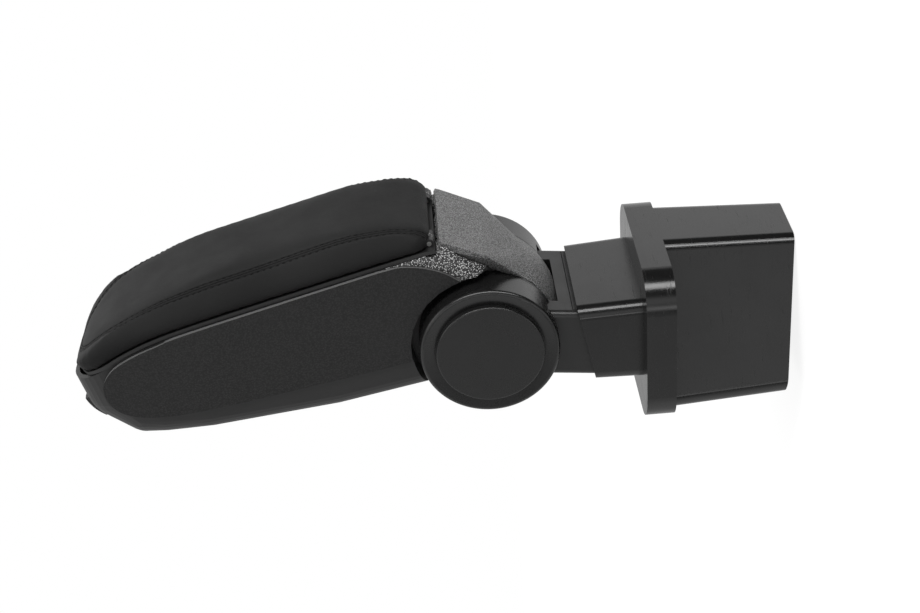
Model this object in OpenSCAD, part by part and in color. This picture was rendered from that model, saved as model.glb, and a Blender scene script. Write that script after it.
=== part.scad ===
// Car centre armrest, upright as it stands in the console.
// Millimetres, +Z up, +X the way the armrest points once lowered, +Y left.
// The origin is the middle of the flange underside, where it seats on the console.

/* [Insert box and flange] */
// Flange size front to back
flange_x = 108; // [90:1:140]
// Flange size side to side
flange_y = 128; // [110:1:170]
// Corner radius of the flange
flange_r = 23; // [10:1:40]
// Height of the rim under the flange plate
rim_h = 14; // [10:0.5:20]
// Thickness of the flange plate
plate_t = 5; // [4:0.5:8]
// Insert box size front to back at the flange
box_x = 100; // [80:1:101]
// How far the box lies to the rear of the flange middle
box_back = 3; // [0:0.5:3]
// Insert box size side to side at its front wall
box_y = 114; // [90:1:122]
// Reach of the rear wall to the left of the middle
box_rear_left = 13; // [10:1:40]
// Reach of the rear wall to the right of the middle
box_rear_right = 47; // [34:1:55]
// How much narrower the box is at its lower end, each side
box_draft = 4; // [0:0.5:8]
// Depth of the insert box at its rear wall
box_depth = 86; // [50:1:130]
// Slant of the lower end, shallower to the front, degrees
box_slant = 7.4; // [0:0.1:9]
// Corner radius of the insert box
box_r = 9; // [6:1:14]
// Wall of the insert box
box_wall = 3; // [2:0.5:5]

/* [Neck] */
// Neck half width at its mouth
neck_half_y = 46; // [38:0.5:56]
// Neck reach to the rear of the stem axis at the mouth
neck_rear = 27; // [22:0.5:40]
// Neck reach to the front of the stem axis at the mouth
neck_front = 26.3; // [22:0.5:40]
// Height of the mouth at the rear edge
mouth_rear_z = 60.5; // [40:0.5:80]
// Height of the mouth at the front edge
mouth_front_z = 49.5; // [35:0.5:80]
// Corner radius of the neck
neck_r = 8; // [3:0.5:12]

/* [Stem] */
// Stem half depth front to back
stem_half_x = 23.7; // [18:0.1:30]
// Lean of the stem, upper end to the rear, degrees
stem_lean = 6.2; // [0:0.1:12]
// Corner radius of the stem
stem_r = 4; // [2:0.5:8]
// Height of the stem foot above the flange underside
stem_foot_z = 22; // [20:1:30]

/* [Hinge] */
// Hinge centre, distance to the rear of the flange centre
hinge_back = 7.8; // [0:0.1:20]
// Hinge centre height above the flange underside
hinge_z = 118; // [90:1:150]
// Diameter of the side caps
cap_d = 90; // [70:1:110]
// Thickness of the caps outside the stem
cap_t = 10.8; // [8:0.1:18]
// Half width between the ears
ear_in_y = 27.4; // [20:0.1:34]
// Diameter of the flat disc in each cap
disc_d = 69.6; // [50:0.1:80]
// How far the disc stands proud of the cap rim
disc_proud = 2.7; // [0.5:0.1:5]
// Diameter of the hinge bolt
axle_d = 10; // [6:0.5:16]
// Swing of the armrest from upright to level, degrees
swing = 75; // [45:1:90]
// Outer radius of the middle drum
drum_r = 43.5; // [36:0.5:50]

/* [Armrest] */
// Length from the hinge centre to the tip of the tub
tip_x = 266; // [220:1:330]
// Half width of the tub wall
tub_half_y = 42.5; // [36:0.5:50]
// Height of the tub rim above the hinge centre
rim_z = 75; // [60:0.5:90]
// Drop of the tub rim at the tip
nose_drop = 15.5; // [5:0.5:30]
// Wall of the tub
tub_wall = 3; // [2:0.5:5]
// Radius of the lower long edges
edge_r = 12; // [6:0.5:20]
// Thickness of the side panels
panel_t = 2.6; // [2:0.1:4]
// How far the side panels stand proud of the tub
panel_proud = 1.5; // [0.5:0.1:3]
// Gap round the caps
cap_gap = 5.3; // [2:0.1:8]

/* [Pad] */
// Rear face of the pad, from the hinge centre
pad_rear_x = 10.5; // [8:0.5:16]
// Height of the pad from its lower edge to its crown
pad_h = 27; // [15:0.5:40]
// Overhang of the pad beyond the tub wall, each side
pad_over = 1.5; // [0:0.5:4]
// How far the upper seams lie in from the pad edge
seam_in = 7; // [4:0.5:12]
// Thickness of the lid plate
lid_t = 2.5; // [2:0.1:4]

/* [Latch] */
// Half width of the release button
button_half_y = 19; // [10:0.5:26]
// Travel of the release button
button_travel = 2.5; // [1.5:0.5:4]
// Radius of the nose, seen from the side
nose_r = 26; // [18:1:34]
// Height of the nose centre above the hinge centre
nose_z = 41; // [30:1:50]

/* [Hidden] */
$fn = 64;
e = 0.01;
gap = 0.3;
box_front_x = box_x / 2 - box_back;
box_rear_x = -box_x / 2 - box_back;
stem_half_y = tub_half_y;
cap_half_y = stem_half_y + cap_t;
pad_half_y = tub_half_y + pad_over;
seam_half_y = pad_half_y - seam_in;
flange_top = rim_h + plate_t;
hinge_x = -hinge_back;
cap_r = cap_d / 2;
cap_edge = 2.4;
ear_out_y = stem_half_y;
ear_r = cap_r - 2.4;
cap_in_y = ear_in_y + 2.4;
disc_r = disc_d / 2;
wrap_r = drum_r + 6;
wrap_edge_r = drum_r + 2;
wrap_in_r = drum_r + gap;
wrap_half_y = ear_in_y - 0.8;
wrap_from = 137;
wrap_to = 205;
drum_half_y = ear_in_y - 0.7;
clear_r = cap_r + cap_gap;
lip_x = pad_rear_x - 5;
lip_z = rim_z + 3.5;
lid_rib_x = 76;
lid_ax = pad_rear_x + 3;
lid_az = rim_z + 4;
pin_r = 1.5;
nose_x = tip_x - nose_r;
nose_flat = tub_half_y - nose_r - 2.5;
striker_x = tip_x - 15;
arm_x = striker_x - 10;
stalk_z = nose_z - 15.5;
hook_z = nose_z + 13.6;
spring_l = 5;
stalk_half_y = 9;
stem_edge_a = asin(stem_half_x / (drum_r + 0.7));
heel_from = 270 + stem_lean + stem_edge_a + 0.8;

// places along the armrest, as shares of the tip distance
function along(f) = f * (tip_x + 3);

// smooth curve through a list of points, n steps a span
function cr(a, b, c, d, t) = 0.5 * (2 * b + (c - a) * t
    + (2 * a - 5 * b + 4 * c - d) * t * t + (3 * b - a - 3 * c + d) * t * t * t);
function curve(p, n) = [for (i = [0:len(p) - 2]) for (k = [0:n - 1])
    cr(p[max(i - 1, 0)], p[i], p[i + 1], p[min(i + 2, len(p) - 1)], k / n), p[len(p) - 1]];
function unit(v) = v / norm(v);
// closed outline grown by d, for outlines listed anticlockwise
function grow(p, d) = [for (i = [0:len(p) - 1])
    let (q = p[(i + 1) % len(p)] - p[(i + len(p) - 1) % len(p)], u = unit(q)) p[i] + d * [u[1], -u[0]]];

// upper edge of the tub, from rear to tip
rim_line = curve([[pad_rear_x - 2, rim_z - 1.6], [pad_rear_x + 14, rim_z - 0.4], [along(0.3), rim_z],
    [along(0.6), rim_z], [along(0.74), rim_z - 1.2], [along(0.83), rim_z - 0.3 * nose_drop],
    [along(0.9), rim_z - 0.62 * nose_drop], [along(0.96), rim_z - 0.88 * nose_drop],
    [tip_x + 4, rim_z - nose_drop]], 4);
function rim_at(x) = lookup(x, rim_line);
function lifted(p, d) = [for (q = p) q + [0, d]];
function back_to_front(p) = [for (i = [len(p) - 1:-1:0]) p[i]];

// extrude a side view outline across the armrest
module across(y0, y1) {
  translate([0, y1, 0]) rotate([90, 0, 0]) linear_extrude(y1 - y0) children();
}

module both_sides() {
  children();
  mirror([0, 1, 0]) children();
}

// places a piece drawn level, hinge at the origin, where it stands when upright
module on_arm() {
  translate([hinge_x, 0, hinge_z]) rotate([0, -swing, 0]) children();
}

// places a piece drawn on the leaning stem axis, hinge at the origin
module on_stem() {
  translate([hinge_x, 0, hinge_z]) rotate([0, -stem_lean, 0]) children();
}

module round_rect(x, y, r) {
  square([x - 2 * r, y], center = true);
  square([x, y - 2 * r], center = true);
  for (i = [-1, 1]) for (j = [-1, 1]) translate([i * (x / 2 - r), j * (y / 2 - r)]) circle(r);
}

/* insert box */
// middles of the corner rounds: rear left, rear right, front right, front left
function box_corners(d) = [[box_rear_x + box_r + 0.6 * d, box_rear_left - box_r],
  [box_rear_x + box_r + 0.6 * d, d - box_rear_right + box_r],
  [box_front_x - box_r - d, d - box_y / 2 + box_r], [box_front_x - box_r - d, box_y / 2 - box_r - d]];

module box_plan(inset) {
  hull() for (c = box_corners(0)) translate(c) circle(box_r - inset);
}

module box_body(inset, top) {
  low = -box_depth - 6;
  intersection() {
    hull() for (i = [0:3]) {
      translate(concat(box_corners(0)[i], top - 0.2)) cylinder(r = box_r - inset, h = 0.2);
      translate(concat(box_corners(box_draft)[i], low)) cylinder(r = box_r - inset, h = 0.2);
    }
    translate([box_rear_x, 0, -box_depth]) rotate([0, -box_slant, 0]) translate([-60, -100, -inset])
      cube([240, 200, 160]);
  }
}

// places of the flange screws, and which way the corner block lies
BOSSES = [[box_rear_x + 17, box_rear_left - 8.5, 6], [box_rear_x + 17, 16 - box_rear_right, -6],
  [box_front_x - 14, 15 - box_y / 2, -6], [box_front_x - 14, box_y / 2 - 15, 6]];

module corner_block(b) {
  translate([b[0] + 6 * sign(b[0]), b[1] + b[2], 2]) cube([24, 24, 12], center = true);
}

module insert_box() {
  color([0.05, 0.05, 0.055]) difference() {
    union() {
      box_body(0, 3);
      difference() {
        linear_extrude(rim_h) round_rect(flange_x, flange_y, flange_r);
        translate([0, 0, 3]) linear_extrude(rim_h) difference() {
          round_rect(flange_x - 2 * box_wall, flange_y - 2 * box_wall, flange_r - box_wall);
          box_plan(0.2);
        }
      }
    }
    difference() {
      translate([0, 0, 2.9]) linear_extrude(rim_h) box_plan(box_wall);
      for (b = BOSSES) corner_block(b);
    }
    difference() {
      box_body(box_wall, 3);
      for (b = BOSSES) corner_block(b);
      // stiffening ribs down the walls
      for (y = [-26, -4]) translate([box_rear_x, y, -box_depth / 2])
        cube([14, 2.4, box_depth - 14], center = true);
      for (y = [-26, 0, 26]) translate([box_front_x, y, -box_depth / 2])
        cube([18, 2.4, box_depth - 18], center = true);
    }
    for (b = BOSSES) translate([b[0], b[1], -10]) cylinder(r = 2.25, h = 30);
  }
}

/* flange plate, neck and floor in one moulding */
module neck_shape(inset, low, high) {
  hull() {
    for (j = [-1, 1]) {
      translate([hinge_x - 23.5 + neck_r, j * (neck_half_y + 1.5 - neck_r), low])
        cylinder(r = neck_r - inset, h = 0.2);
      translate([hinge_x + 34.3 - neck_r, j * (neck_half_y + 1.5 - neck_r), low])
        cylinder(r = neck_r - inset, h = 0.2);
      translate([hinge_x - neck_rear + 6.3 + neck_r, j * (neck_half_y - neck_r), high])
        cylinder(r = neck_r - inset, h = 0.2);
      translate([hinge_x + neck_front + 7.6 - neck_r, j * (neck_half_y - neck_r), high])
        cylinder(r = neck_r - inset, h = 0.2);
    }
  }
}

module stem_profile(grow_by) {
  round_rect(2 * (stem_half_x + grow_by), 2 * (stem_half_y + grow_by), stem_r + grow_by);
}

module mouth_cut() {
  across(-80, 80) polygon([
    [hinge_x - 60, mouth_rear_z + (60 - 20.7) * (mouth_rear_z - mouth_front_z) / 54.6],
    [hinge_x + 60, mouth_front_z - (60 - 33.9) * (mouth_rear_z - mouth_front_z) / 54.6],
    [hinge_x + 60, 140], [hinge_x - 60, 140]]);
}

module adapter_neck() {
  color([0.055, 0.055, 0.06]) difference() {
    union() {
      translate([0, 0, rim_h]) linear_extrude(plate_t) round_rect(flange_x, flange_y, flange_r);
      neck_shape(0, flange_top - 1, mouth_rear_z + 8);
      for (b = BOSSES) translate([b[0], b[1], 8.2]) cylinder(r = 5, h = rim_h - 8);
    }
    mouth_cut();
    on_stem() translate([0, 0, -hinge_z + stem_foot_z - 4]) intersection() {
      linear_extrude(200) stem_profile(0.2);
    }
    for (b = BOSSES) translate([b[0], b[1], 8]) cylinder(r = 1.7, h = 9);
    for (j = [-1, 1]) on_stem() translate([0, j * 24, -hinge_z]) cylinder(r = 3.25, h = 30);
  }
}

module flange_screws() {
  color([0.6, 0.6, 0.62]) for (b = BOSSES)
    translate([b[0], b[1], -7]) {
      difference() {
        cylinder(r = 4, h = 3);
        translate([0, 0, -e]) cylinder(r = 2, h = 1.6, $fn = 6);
      }
      cylinder(r = 1.98, h = 15);
      cylinder(r = 1.65, h = 22);
    }
}

/* stem with its two ears */
foot_d = hinge_z - stem_foot_z;

module ear() {
  difference() {
    union() {
      across(ear_in_y, ear_out_y) circle(ear_r);
      // ring that the cap presses on
      across(ear_in_y, cap_in_y - gap) circle(cap_r);
      // arm down to the stem
      on_stem_local() translate([-stem_half_x + stem_r, ear_in_y, -cap_r - 8])
        cube([2 * (stem_half_x - stem_r), ear_out_y - ear_in_y, cap_r]);
    }
    // pocket for the nut or the bolt head
    across(ear_out_y - 8, ear_out_y + 1) circle(17);
    across(ear_in_y - 1, ear_out_y + 1) circle(axle_d / 2 + 0.05);
    // weight saving pockets
    for (a = [0:60:300]) rotate([0, a, 0]) translate([29.5, 0, 0])
      across(ear_in_y + 4, ear_out_y + 1) circle(6.5);
  }
}

module on_stem_local() {
  rotate([0, -stem_lean, 0]) children();
}

module stem() {
  color([0.06, 0.06, 0.065]) {
    translate([hinge_x, 0, hinge_z]) difference() {
      union() {
        both_sides() ear();
        on_stem_local() translate([0, 0, -foot_d + 1]) linear_extrude(foot_d - 22) stem_profile(0);
      }
      // drum and cap space
      across(-ear_in_y, ear_in_y) circle(drum_r + 0.7);
      // way in for the end of the cowl, its floor is the upright stop
      across(-ear_in_y, ear_in_y) intersection() {
        circle(wrap_r + 0.6);
        polygon([[0, 0], 90 * [cos(wrap_to + swing + 0.6), sin(wrap_to + swing + 0.6)],
          90 * [cos(250), sin(250)], 90 * [cos(220), sin(220)]]);
      }
      // clearance for the skirts of the caps
      both_sides() across(cap_in_y - gap - e, ear_out_y + 10) difference() {
        circle(cap_r + gap);
        circle(ear_r);
        polygon([[0, 0], 90 * [cos(270 - 36 + stem_lean), sin(270 - 36 + stem_lean)],
          90 * [cos(270 + 36 + stem_lean), sin(270 + 36 + stem_lean)]]);
      }
      // recess for the cover plate
      on_stem_local() translate([-stem_half_x - 1, -cover_half_y - 0.5, -cover_low - 0.5])
        cube([3.2, 2 * cover_half_y + 1, cover_low - cover_high + 1]);
      // screw holes in the foot
      for (j = [-1, 1]) on_stem_local() translate([0, j * 24, -foot_d - 1])
        cylinder(r = 2.5, h = 20);
    }
  }
}

cover_half_y = stem_half_y - 4.5;
cover_high = 53;
cover_low = 78;

module stem_cover() {
  color([0.09, 0.09, 0.095]) on_stem() difference() {
    translate([-stem_half_x, -cover_half_y, -cover_low])
      cube([2, 2 * cover_half_y, cover_low - cover_high]);
  }
}

module stem_screws() {
  color([0.6, 0.6, 0.62]) for (j = [-1, 1]) on_stem() translate([0, j * 24, -hinge_z + rim_h - 6.5]) {
    difference() {
      cylinder(r = 5, h = 4);
      translate([0, 0, -e]) cylinder(r = 2.5, h = 2.4, $fn = 6);
    }
    cylinder(r = 2.45, h = 16);
  }
}

/* side caps */
module cap_shape() {
  translate([hinge_x, 0, hinge_z]) difference() {
    rotate([-90, 0, 0]) rotate_extrude($fn = 128) union() {
      difference() {
        translate([0, cap_in_y]) square([cap_r, cap_half_y - cap_in_y]);
        translate([-1, cap_in_y - 1]) square([ear_r + gap + 1, cap_half_y - 3.4 - cap_in_y + 1]);
        // rounded rim
        translate([cap_r - cap_edge, cap_half_y - cap_edge]) difference() {
          square(cap_edge + 1);
          circle(cap_edge);
        }
        // slightly coned ring round the disc
        polygon([[disc_r + 0.5, cap_half_y - 1.1], [cap_r - cap_edge, cap_half_y], [disc_r, cap_half_y + 1]]);
        translate([0, cap_half_y - 1.3]) square([disc_r + 0.5, 3]);
      }
    }
    // cut-out where the stem leaves
    across(cap_in_y - 1, stem_half_y + gap) polygon([[0, 0],
      90 * [cos(270 - 37 + stem_lean), sin(270 - 37 + stem_lean)],
      90 * [cos(270 + 37 + stem_lean), sin(270 + 37 + stem_lean)]]);
    // holes for the disc clips
    for (a = [45:90:315]) rotate([0, a, 0]) translate([22, 0, 0])
      across(cap_half_y - 6, cap_half_y + 2) circle(2.1);
  }
}

module cap_left() {
  color([0.05, 0.05, 0.055]) cap_shape();
}

module cap_right() {
  color([0.05, 0.05, 0.055]) mirror([0, 1, 0]) cap_shape();
}

module disc_shape() {
  translate([hinge_x, 0, hinge_z]) {
    rotate([-90, 0, 0]) rotate_extrude($fn = 128) difference() {
      translate([0, cap_half_y - 1.3]) square([disc_r, disc_proud + 1.3]);
      translate([disc_r - 1, cap_half_y + disc_proud - 1]) difference() {
        square(2);
        circle(1);
      }
    }
    for (a = [45:90:315]) rotate([0, a, 0]) translate([22, 0, 0])
      across(cap_half_y - 5, cap_half_y) circle(2);
  }
}

module cap_disc_left() {
  color([0.06, 0.06, 0.065]) disc_shape();
}

module cap_disc_right() {
  color([0.06, 0.06, 0.065]) mirror([0, 1, 0]) disc_shape();
}

/* hinge hardware */
head_t = 5.5;
nut_t = 5;
spring_t = 1.6;

module hinge_axle() {
  color([0.65, 0.65, 0.68]) translate([hinge_x, 0, hinge_z]) {
    across(-ear_out_y + 8 - head_t, -ear_out_y + 8) circle(9, $fn = 6);
    across(-ear_out_y + 7.9, ear_out_y - 8 + spring_t + nut_t + 1.5) circle(axle_d / 2);
  }
}

module axle_nut() {
  color([0.65, 0.65, 0.68]) translate([hinge_x, 0, hinge_z])
    across(ear_out_y - 8 + spring_t, ear_out_y - 8 + spring_t + nut_t) difference() {
      circle(9, $fn = 6);
      circle(axle_d / 2);
    }
}

module spring_washers() {
  color([0.5, 0.5, 0.52]) translate([hinge_x, 0, hinge_z]) rotate([-90, 0, 0])
    rotate_extrude() translate([0, ear_out_y - 8])
      polygon([[axle_d / 2 + 0.1, 0.8], [13, 0], [13, 0.8], [axle_d / 2 + 0.1, spring_t]]);
}

module friction_washers() {
  color([0.55, 0.42, 0.2]) translate([hinge_x, 0, hinge_z]) both_sides()
    across(drum_half_y + 0.02, ear_in_y - 0.1) difference() {
      circle(20);
      circle(axle_d / 2 + 0.05);
    }
}

module hinge_sleeve() {
  color([0.6, 0.6, 0.62]) on_arm() across(-drum_half_y, drum_half_y) difference() {
    circle(13);
    circle(axle_d / 2 + 0.05);
  }
}

/* tub */
module tub_hull(inset, rear) {
  hull() both_sides() {
    translate([along(0.178) + rear, tub_half_y - edge_r, -6.4]) sphere(edge_r - inset, $fn = 28);
    translate([along(0.394), tub_half_y - edge_r, -2.4]) sphere(edge_r - inset, $fn = 28);
    translate([along(0.6), tub_half_y - edge_r, 5.7]) sphere(edge_r - inset, $fn = 28);
    translate([along(0.705), tub_half_y - edge_r, 9.8]) sphere(edge_r - inset, $fn = 28);
    translate([along(0.765), tub_half_y - edge_r - 1.5, 12.4]) sphere(edge_r - inset, $fn = 28);
    translate([along(0.813), tub_half_y - 15.5, 16.5]) sphere(edge_r + 2 - inset, $fn = 30);
    translate([along(0.86), tub_half_y - 19.5, 21.5]) sphere(edge_r + 5 - inset, $fn = 28);
    translate([nose_x, nose_flat, nose_z]) sphere(nose_r - inset, $fn = 36);
    translate([along(0.178) + rear, tub_half_y - edge_r, 60])
      cylinder(r = edge_r - inset, h = 30, $fn = 28);
    translate([along(0.765), tub_half_y - edge_r, 60]) cylinder(r = edge_r - inset, h = 30, $fn = 28);
    translate([nose_x, nose_flat, nose_z]) cylinder(r = nose_r - inset, h = 48, $fn = 36);
  }
}

// the two shoulders behind the pad, beside the cowl
module shoulder() {
  hull() {
    across(tub_half_y - 2, tub_half_y) polygon([[-7.7, 48.8], [lip_x + 9.7, rim_z - 3.8],
      [lip_x + 20, rim_z - 1],
      [70, rim_z - 1], [70, 10], [40, 10]]);
    across(36.4, 37) polygon([[lip_x, lip_z], [lip_x + 3, lip_z], [lip_x + 12, lip_z - 6], [70, lip_z - 10],
      [70, 10], [0, 40]]);
    across(wrap_half_y, wrap_half_y + 0.5) polygon([[-23, 44.5], [lip_x, lip_z], [lip_x + 3, lip_z],
      [70, lip_z - 10], [70, 10], [0, 30]]);
  }
}

// solid of the cowl deck, grown sideways by g
module deck_shape(g) {
  hull() {
    rotate([90, 0, 0]) rotate([0, 0, wrap_from]) rotate_extrude(angle = 2.5) wrap_section(g - 0.06);
    across(-36.5 - g, 36.5 + g) translate([lip_x - 22.5, lip_z - 20.5]) circle(1 + g, $fn = 24);
    across(-37 - g, 37 + g) polygon([[lip_x + 1, lip_z], [lip_x - 2.2 - g, lip_z - 2.4],
      [lip_x, lip_z - 5 - 2 * g],
      [lip_x + 3 + g, lip_z - 5 - 2 * g], [lip_x + 3 + g, lip_z - 1.6], [lip_x + 1.6, lip_z + g]]);
  }
}

crown_r = (pow(wrap_half_y, 2) + pow(wrap_r - wrap_edge_r, 2)) / (2 * (wrap_r - wrap_edge_r));

module wrap_section(g) {
  intersection() {
    translate([wrap_in_r - g, -wrap_half_y - g]) square([20, 2 * (wrap_half_y + g)]);
    translate([wrap_r - crown_r, 0]) circle(crown_r + g, $fn = 160);
  }
}

module rear_cowl() {
  color([0.075, 0.075, 0.08]) on_arm() {
    difference() {
      union() {
        deck_shape(0);
        rotate([90, 0, 0]) rotate([0, 0, wrap_from]) rotate_extrude(angle = wrap_to - wrap_from, $fn = 128)
          wrap_section(0);
        // front flange that carries the screws
        across(-34, 34) polygon([[lip_x + 0.2, lip_z - 3], [lip_x + 2.8, lip_z - 3],
          [lip_x + 2.8, lip_z - 15],
          [lip_x + 0.2, lip_z - 15]]);
      }
      // clear of the ears and caps
      both_sides() across(ear_in_y - 0.4, 60) circle(cap_r + 0.6);
      for (j = [-1, 1]) translate([lip_x - 3, j * 16, lip_z - 11]) rotate([0, 90, 0])
        cylinder(r = 1.7, h = 8);
    }
  }
}

module cowl_screws() {
  color([0.6, 0.6, 0.62]) on_arm() for (j = [-1, 1]) translate([lip_x + 2.85, j * 16, lip_z - 11]) {
    rotate([0, 90, 0]) cylinder(r = 3, h = 1.6);
    rotate([0, -90, 0]) cylinder(r = 1.5, h = 5);
  }
}

panel_outline = concat(
  curve([[along(0.186), 5.2], [along(0.31), 7.2], [along(0.435), 10], [along(0.565), 12.8],
  [along(0.665), 15.4],
    [along(0.753), 18.4], [along(0.815), 22], [along(0.862), 26.8], [along(0.896), 33.5],
    [along(0.912), 41.5],
    [along(0.914), 50], [along(0.902), 58.5], [along(0.865), 66.2], [along(0.805), 70.6], [along(0.74), 72.8],
    [along(0.66), rim_z - 0.6], [along(0.3), rim_z - 0.4], [along(0.155), rim_z - 0.8], [30, rim_z - 3.2],
    [20, rim_z - 8], [11, rim_z - 14.5], [2.5, clear_r + 0.4]], 4),
  [for (a = [80:-12:8]) (clear_r + 0.4) * [cos(a), sin(a)]]);

// rounded nose form of radius r, used for the button and its pocket
module nose_form(r) {
  translate([nose_x, 0, nose_z]) {
    across(-nose_flat, nose_flat) circle(r, $fn = 72);
    both_sides() translate([0, nose_flat, 0]) sphere(r, $fn = 72);
  }
}

// sector of the nose that the button covers, grown by g
module button_sector(g) {
  across(-button_half_y - g, button_half_y + g) translate([nose_x, nose_z]) intersection() {
    difference() {
      circle(nose_r + 12);
      circle(nose_r - 10);
    }
    polygon([[0, -0.743 * nose_r - g],
      [80, -0.743 * nose_r - g], 80 * [cos(-5 + 2 * g), sin(-5 + 2 * g)], [0, 0]]);
  }
}

button_in_r = nose_r + 0.4;
pocket_r = button_in_r - button_travel - 0.4;

module tub() {
  color([0.06, 0.06, 0.065]) on_arm() difference() {
    union() {
      // wall behind the button pocket and the rib that the spring leans on
      intersection() {
        nose_form(nose_r - 1);
        button_sector(4);
        difference() {
          nose_form(nose_r - 1);
          nose_form(pocket_r - tub_wall);
        }
      }
      translate([arm_x - spring_l - 2.6, -8, nose_z - nose_r - 8]) cube([2.6, 16, nose_r + 8]);
      difference() {
        intersection() {
        union() {
          difference() {
            tub_hull(0, 0);
            difference() {
              tub_hull(tub_wall, 16);
              // rear wall of the compartment
              across(-60, 60) circle(clear_r + 8);
              across(-60, 60) polygon([[-40, 30], [lip_x + 15, 90], [lip_x + 15, 60], [60, 10],
                [40, -40], [-60, -40]]);
            }
          }
          both_sides() shoulder();
          across(-wrap_half_y - 1, wrap_half_y + 1) polygon([[60, -15.6], [47.5, -16.6], [30, -11], [-20, 30],
            [lip_x - 1, lip_z - 8], [60, lip_z - 8]]);
        }
        across(-60, 60) polygon(concat([[-80, -60], [tip_x + 4, -60]], back_to_front(rim_line),
          [[lip_x + 3, rim_z - 1.8], [lip_x, lip_z], [-30, 42], [-80, 30]]));
        }
        // trough that the lid knuckles turn in
        across(-60, 60) translate([lid_ax, lid_az]) circle(6.5);
      }
      // middle drum
      across(-drum_half_y, drum_half_y) circle(drum_r);
      // heel that meets the stem when the armrest is level
      across(-drum_half_y, drum_half_y) intersection() {
        circle(drum_r + 5);
        polygon([[0, 0], 90 * [cos(heel_from), sin(heel_from)], 90 * [cos(325), sin(325)],
          90 * [cos(345), sin(345)]]);
      }
      // arms that carry the lid pins
      both_sides() across(27, 31) {
        translate([lid_ax, lid_az]) circle(3.2);
        translate([lid_ax - 3.2, rim_z - 8]) square([6.4, lid_az - rim_z + 8]);
      }
    }
    // space round the ears and caps
    both_sides() across(ear_in_y - 0.7 + e, 70) circle(clear_r);
    // space for the cowl
    deck_shape(0.25);
    across(-38, 38) polygon([[lip_x - 20, lip_z + 20], [-90, 0], [-60, -20], [-30.5, 31.3],
      [lip_x - 0.2, lip_z - 5.6],
      [lip_x - 0.2, lip_z - 15.2], [lip_x + 3.1, lip_z - 15.2], [lip_x + 3.1, lip_z + 20]]);
    // bore for the sleeve and pockets that lighten the drum
    across(-60, 60) circle(13);
    for (a = [-30:60:270]) rotate([0, a, 0]) translate([28, 0, 0]) {
      across(3, 60) circle(8.5);
      across(-60, -3) circle(8.5);
    }
    // recesses and peg holes for the side panels
    both_sides() across(tub_half_y + panel_proud - panel_t, 70) polygon(grow(panel_outline, 0.5));
    both_sides() for (f = [0.3, 0.55, 0.8]) translate([along(f), 0, 40]) across(tub_half_y - 5, 70)
      circle(1.6);
    // screw holes for the cowl
    for (j = [-1, 1]) translate([lip_x - 12, j * 16, lip_z - 11]) rotate([0, 90, 0]) {
      cylinder(r = 1.55, h = 16);
      translate([0, 0, 15]) cylinder(r = 3.4, h = 12);
    }
    // holes for the lid pins
    both_sides() across(20, 40) translate([lid_ax, lid_az]) circle(pin_r);
    // pocket for the button and slot for its stalk
    intersection() {
      button_sector(0.4);
      difference() {
        nose_form(nose_r + 4);
        nose_form(pocket_r);
      }
    }
    translate([nose_x + 8, -stalk_half_y - 0.4, stalk_z - 0.4]) cube([30, 2 * stalk_half_y + 0.8, 7.8]);
    // shallow tray behind the compartment
    across(-24.5, 24.5) translate([18, drum_r + 8.5]) square([60, 60]);
  }
}

module panel_shape() {
  on_arm() {
    across(tub_half_y + panel_proud - panel_t, tub_half_y + panel_proud) polygon(panel_outline);
    for (f = [0.3, 0.55, 0.8]) translate([along(f), 0, 40]) across(tub_half_y - 3.6, tub_half_y) circle(1.5);
  }
}

module side_panel_left() {
  color([0.07, 0.07, 0.075]) panel_shape();
}

module side_panel_right() {
  color([0.07, 0.07, 0.075]) mirror([0, 1, 0]) panel_shape();
}

module tub_mat() {
  color([0.04, 0.04, 0.04]) on_arm() intersection() {
    difference() {
      tub_hull(tub_wall + 0.02, 16);
      translate([0, 0, 1.6]) tub_hull(tub_wall + 0.02, 16);
    }
    across(-30, 30) polygon([[72, -20], [205, -20], [205, 14], [72, 2]]);
  }
}

/* lid */
module lid_plate() {
  color([0.05, 0.05, 0.055]) on_arm() difference() {
    union() {
      intersection() {
        across(-60, 60) polygon(concat(lifted(rim_line, 0.5), back_to_front(lifted(rim_line, 0.5 + lid_t))));
        linear_extrude(120) lid_plan(2.5);
      }
      // ribs that reach into the tub
      across(-35, 35) intersection() {
        polygon(concat(lifted(rim_line, -3.5), back_to_front(lifted(rim_line, 1))));
        translate([lid_rib_x, 0]) square([2, 120]);
      }
      both_sides() across(33, 35) intersection() {
        polygon(concat(lifted(rim_line, -3.5), back_to_front(lifted(rim_line, 1))));
        translate([lid_rib_x, 0]) square([along(0.78) - lid_rib_x, 120]);
      }
      // knuckles for the pins
      both_sides() for (y = [22.4, 31.3]) across(y, y + 4.3) {
        translate([lid_ax, lid_az]) circle(3.2);
        translate([lid_ax - 1.5, lid_az - 3.5]) square([4.7, 3.5]);
      }
    }
    both_sides() across(26.7, 31.3) translate([0, 50]) square([lid_ax + 4.6, 60]);
    both_sides() across(20, 40) translate([lid_ax, lid_az]) circle(pin_r + 0.05);
    // way for the striker
    for (j = [-1, 1]) translate([striker_x - 12, j * 7, 40]) cylinder(r = 1.6, h = 60);
  }
}

// plan outline of the lid, drawn in from the pad edge
module lid_plan(inset) {
  r = 32 - inset;
  w = pad_half_y - inset;
  tip = tip_x - inset;
  bow = 62 - inset;
  intersection() {
    union() {
      translate([pad_rear_x, -w]) square([tip - r - pad_rear_x, 2 * w]);
      translate([pad_rear_x, -w + r]) square([tip - pad_rear_x, 2 * (w - r)]);
      for (j = [-1, 1]) translate([tip - r, j * (w - r)]) circle(r);
    }
    union() {
      translate([pad_rear_x, -w]) square([tip - bow + 20 - pad_rear_x, 2 * w]);
      translate([tip - bow, 0]) circle(bow, $fn = 160);
    }
  }
}

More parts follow.
